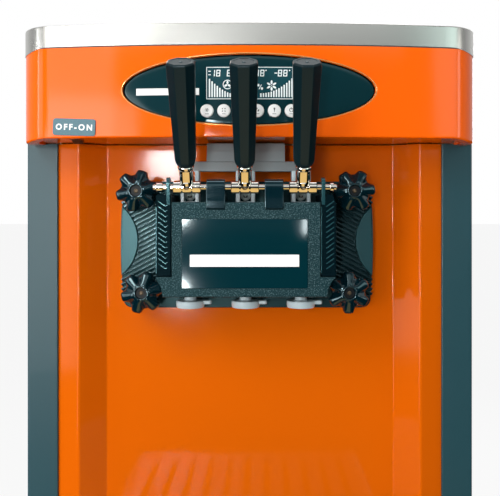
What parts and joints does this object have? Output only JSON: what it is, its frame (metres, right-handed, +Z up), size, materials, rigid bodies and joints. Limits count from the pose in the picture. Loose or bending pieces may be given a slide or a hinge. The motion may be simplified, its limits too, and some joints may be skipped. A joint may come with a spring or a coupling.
{
  "type": "soft serve ice cream machine",
  "caption": "Floor-standing soft-serve machine: bowed hood with oval display, dispensing head with draw handles, star knobs and nozzles, folded front panel, drip tray, hoppers and castors.",
  "frame": {"origin": "on the floor, under the middle of the machine's whole width and depth", "axes": "+X to the user's right, +Y from the front to the back, +Z up"},
  "size_m": [0.556, 0.812, 1.3436],
  "materials": {
    "orange_paint": "gloss",
    "column_paint": "satin",
    "stainless": "brushed",
    "chrome": "polished",
    "zinc_steel": "satin",
    "aluminium": "satin",
    "black_plastic": "satin",
    "gloss_black": "gloss",
    "grey_plastic": "satin",
    "white_key": "satin",
    "board_green": "satin",
    "slate_plate": "satin",
    "cast_iron": "painted black",
    "wheel_rubber": "matte"
  },
  "bodies": {
    "cabinet": {"chassis": "zinc_steel", "left_side_panel": "column_paint", "right_side_panel": "column_paint", "rear_panel": "column_paint", "front_panel": "orange_paint", "hood": "orange_paint", "top_deck": "stainless", "hopper_left": "stainless", "hopper_right": "stainless", "feed_tube_left": "grey_plastic", "feed_tube_right": "grey_plastic", "freezing_cylinder_left": "stainless", "freezing_cylinder_right": "stainless", "gearmotor_left": "cast_iron", "gearmotor_right": "cast_iron", "display_panel": "gloss_black", "control_board": "board_green", "switch_plate": "slate_plate", "dispenser_body": "black_plastic", "label_plate": "gloss_black", "switch_bracket": "stainless", "pivot_rod": "chrome", "compressor": "cast_iron", "condenser": "aluminium"},
    "handle_1": {"lever_1": "chrome", "grip_1": "black_plastic"},
    "handle_2": {"lever_2": "chrome", "grip_2": "black_plastic"},
    "handle_3": {"lever_3": "chrome", "grip_3": "black_plastic"},
    "piston_1": {"valve_piston_1": "grey_plastic"},
    "piston_2": {"valve_piston_2": "grey_plastic"},
    "piston_3": {"valve_piston_3": "grey_plastic"},
    "star_knob_1": {"knob_1": "gloss_black"},
    "star_knob_2": {"knob_2": "gloss_black"},
    "star_knob_3": {"knob_3": "gloss_black"},
    "star_knob_4": {"knob_4": "gloss_black"},
    "cap_1": {"nozzle_cap_1": "grey_plastic"},
    "cap_2": {"nozzle_cap_2": "grey_plastic"},
    "cap_3": {"nozzle_cap_3": "grey_plastic"},
    "button_1": {"key_1": "white_key"},
    "button_2": {"key_2": "white_key"},
    "button_3": {"key_3": "white_key"},
    "button_4": {"key_4": "white_key"},
    "button_5": {"key_5": "white_key"},
    "button_6": {"key_6": "white_key"},
    "rocker": {"power_switch": "black_plastic"},
    "lid_left": {"hopper_lid_left": "stainless"},
    "lid_right": {"hopper_lid_right": "stainless"},
    "screw_left": {"beater_left": "stainless"},
    "screw_right": {"beater_right": "stainless"},
    "fan_rotor": {"fan": "black_plastic"},
    "tray": {"drip_tray": "stainless"},
    "grille": {"drip_grille": "stainless"},
    "swivel_left": {"castor_fork_front_left": "zinc_steel"},
    "swivel_right": {"castor_fork_front_right": "zinc_steel"},
    "wheel_front_left": {"castor_wheel_front_left": "wheel_rubber"},
    "wheel_front_right": {"castor_wheel_front_right": "wheel_rubber"},
    "wheel_rear_left": {"castor_wheel_rear_left": "wheel_rubber"},
    "wheel_rear_right": {"castor_wheel_rear_right": "wheel_rubber"}
  },
  "joints": [
    {"name": "handle_1_pull", "type": "hinge", "parent": "cabinet", "child": "handle_1", "pos_m": [-0.0695, -0.314, 1.1325], "axis": [1, 0, 0], "range_deg": [0, 42]},
    {"name": "handle_2_pull", "type": "hinge", "parent": "cabinet", "child": "handle_2", "pos_m": [-0.0045, -0.314, 1.1325], "axis": [1, 0, 0], "range_deg": [0, 42]},
    {"name": "handle_3_pull", "type": "hinge", "parent": "cabinet", "child": "handle_3", "pos_m": [0.0605, -0.314, 1.1325], "axis": [1, 0, 0], "range_deg": [0, 42]},
    {"name": "piston_1_lift", "type": "slide", "parent": "cabinet", "child": "piston_1", "axis": [0, 0, 1], "range_m": [0, 0.03]},
    {"name": "piston_2_lift", "type": "slide", "parent": "cabinet", "child": "piston_2", "axis": [0, 0, 1], "range_m": [0, 0.03]},
    {"name": "piston_3_lift", "type": "slide", "parent": "cabinet", "child": "piston_3", "axis": [0, 0, 1], "range_m": [0, 0.03]},
    {"name": "knob_1_turn", "type": "hinge", "parent": "cabinet", "child": "star_knob_1", "pos_m": [-0.1312, -0.275, 1.1294], "axis": [0, 1, 0], "continuous": true},
    {"name": "knob_2_turn", "type": "hinge", "parent": "cabinet", "child": "star_knob_2", "pos_m": [0.1222, -0.275, 1.1294], "axis": [0, 1, 0], "continuous": true},
    {"name": "knob_3_turn", "type": "hinge", "parent": "cabinet", "child": "star_knob_3", "pos_m": [-0.1251, -0.275, 1.0109], "axis": [0, 1, 0], "continuous": true},
    {"name": "knob_4_turn", "type": "hinge", "parent": "cabinet", "child": "star_knob_4", "pos_m": [0.1161, -0.275, 1.0109], "axis": [0, 1, 0], "continuous": true},
    {"name": "cap_1_pull", "type": "slide", "parent": "cabinet", "child": "cap_1", "axis": [0, 0, -1], "range_m": [0, 0.02]},
    {"name": "cap_2_pull", "type": "slide", "parent": "cabinet", "child": "cap_2", "axis": [0, 0, -1], "range_m": [0, 0.02]},
    {"name": "cap_3_pull", "type": "slide", "parent": "cabinet", "child": "cap_3", "axis": [0, 0, -1], "range_m": [0, 0.02]},
    {"name": "button_1_press", "type": "slide", "parent": "cabinet", "child": "button_1", "axis": [0, 1, 0], "range_m": [0, 0.001], "stiffness_N_per_m": 800},
    {"name": "button_2_press", "type": "slide", "parent": "cabinet", "child": "button_2", "axis": [0, 1, 0], "range_m": [0, 0.001], "stiffness_N_per_m": 800},
    {"name": "button_3_press", "type": "slide", "parent": "cabinet", "child": "button_3", "axis": [0, 1, 0], "range_m": [0, 0.001], "stiffness_N_per_m": 800},
    {"name": "button_4_press", "type": "slide", "parent": "cabinet", "child": "button_4", "axis": [0, 1, 0], "range_m": [0, 0.001], "stiffness_N_per_m": 800},
    {"name": "button_5_press", "type": "slide", "parent": "cabinet", "child": "button_5", "axis": [0, 1, 0], "range_m": [0, 0.001], "stiffness_N_per_m": 800},
    {"name": "button_6_press", "type": "slide", "parent": "cabinet", "child": "button_6", "axis": [0, 1, 0], "range_m": [0, 0.001], "stiffness_N_per_m": 800},
    {"name": "rocker_tip", "type": "hinge", "parent": "cabinet", "child": "rocker", "pos_m": [-0.206, -0.261, 1.195], "axis": [1, 0, 0], "range_deg": [0, 16]},
    {"name": "lid_left_lift", "type": "slide", "parent": "cabinet", "child": "lid_left", "axis": [0, 0, 1], "range_m": [0, 0.15]},
    {"name": "lid_right_lift", "type": "slide", "parent": "cabinet", "child": "lid_right", "axis": [0, 0, 1], "range_m": [0, 0.15]},
    {"name": "screw_left_spin", "type": "hinge", "parent": "cabinet", "child": "screw_left", "pos_m": [-0.0695, 0, 1.065], "axis": [0, 1, 0], "continuous": true},
    {"name": "screw_right_spin", "type": "hinge", "parent": "cabinet", "child": "screw_right", "pos_m": [0.0605, 0, 1.065], "axis": [0, 1, 0], "continuous": true},
    {"name": "fan_spin", "type": "hinge", "parent": "cabinet", "child": "fan_rotor", "pos_m": [0.095, 0.34, 0.2503], "axis": [0, 1, 0], "continuous": true},
    {"name": "tray_slide", "type": "slide", "parent": "cabinet", "child": "tray", "axis": [0, -1, 0], "range_m": [0, 0.15]},
    {"name": "grille_lift", "type": "slide", "parent": "tray", "child": "grille", "axis": [0, 0, 1], "range_m": [0, 0.05]},
    {"name": "swivel_left_turn", "type": "hinge", "parent": "cabinet", "child": "swivel_left", "pos_m": [-0.218, -0.156, 0.1], "axis": [0, 0, 1], "continuous": true},
    {"name": "swivel_right_turn", "type": "hinge", "parent": "cabinet", "child": "swivel_right", "pos_m": [0.218, -0.156, 0.1], "axis": [0, 0, 1], "continuous": true},
    {"name": "wheel_front_left_roll", "type": "hinge", "parent": "swivel_left", "child": "wheel_front_left", "pos_m": [-0.218, -0.134, 0.0375], "axis": [1, 0, 0], "continuous": true},
    {"name": "wheel_front_right_roll", "type": "hinge", "parent": "swivel_right", "child": "wheel_front_right", "pos_m": [0.218, -0.134, 0.0375], "axis": [1, 0, 0], "continuous": true},
    {"name": "wheel_rear_left_roll", "type": "hinge", "parent": "cabinet", "child": "wheel_rear_left", "pos_m": [-0.218, 0.334, 0.0375], "axis": [1, 0, 0], "continuous": true},
    {"name": "wheel_rear_right_roll", "type": "hinge", "parent": "cabinet", "child": "wheel_rear_right", "pos_m": [0.218, 0.334, 0.0375], "axis": [1, 0, 0], "continuous": true}
  ],
  "couplings": [
    {"joint": "piston_1_lift", "follows": "handle_1_pull", "m_per_rad": 0.0402},
    {"joint": "piston_2_lift", "follows": "handle_2_pull", "m_per_rad": 0.0402},
    {"joint": "piston_3_lift", "follows": "handle_3_pull", "m_per_rad": 0.0402}
  ]
}
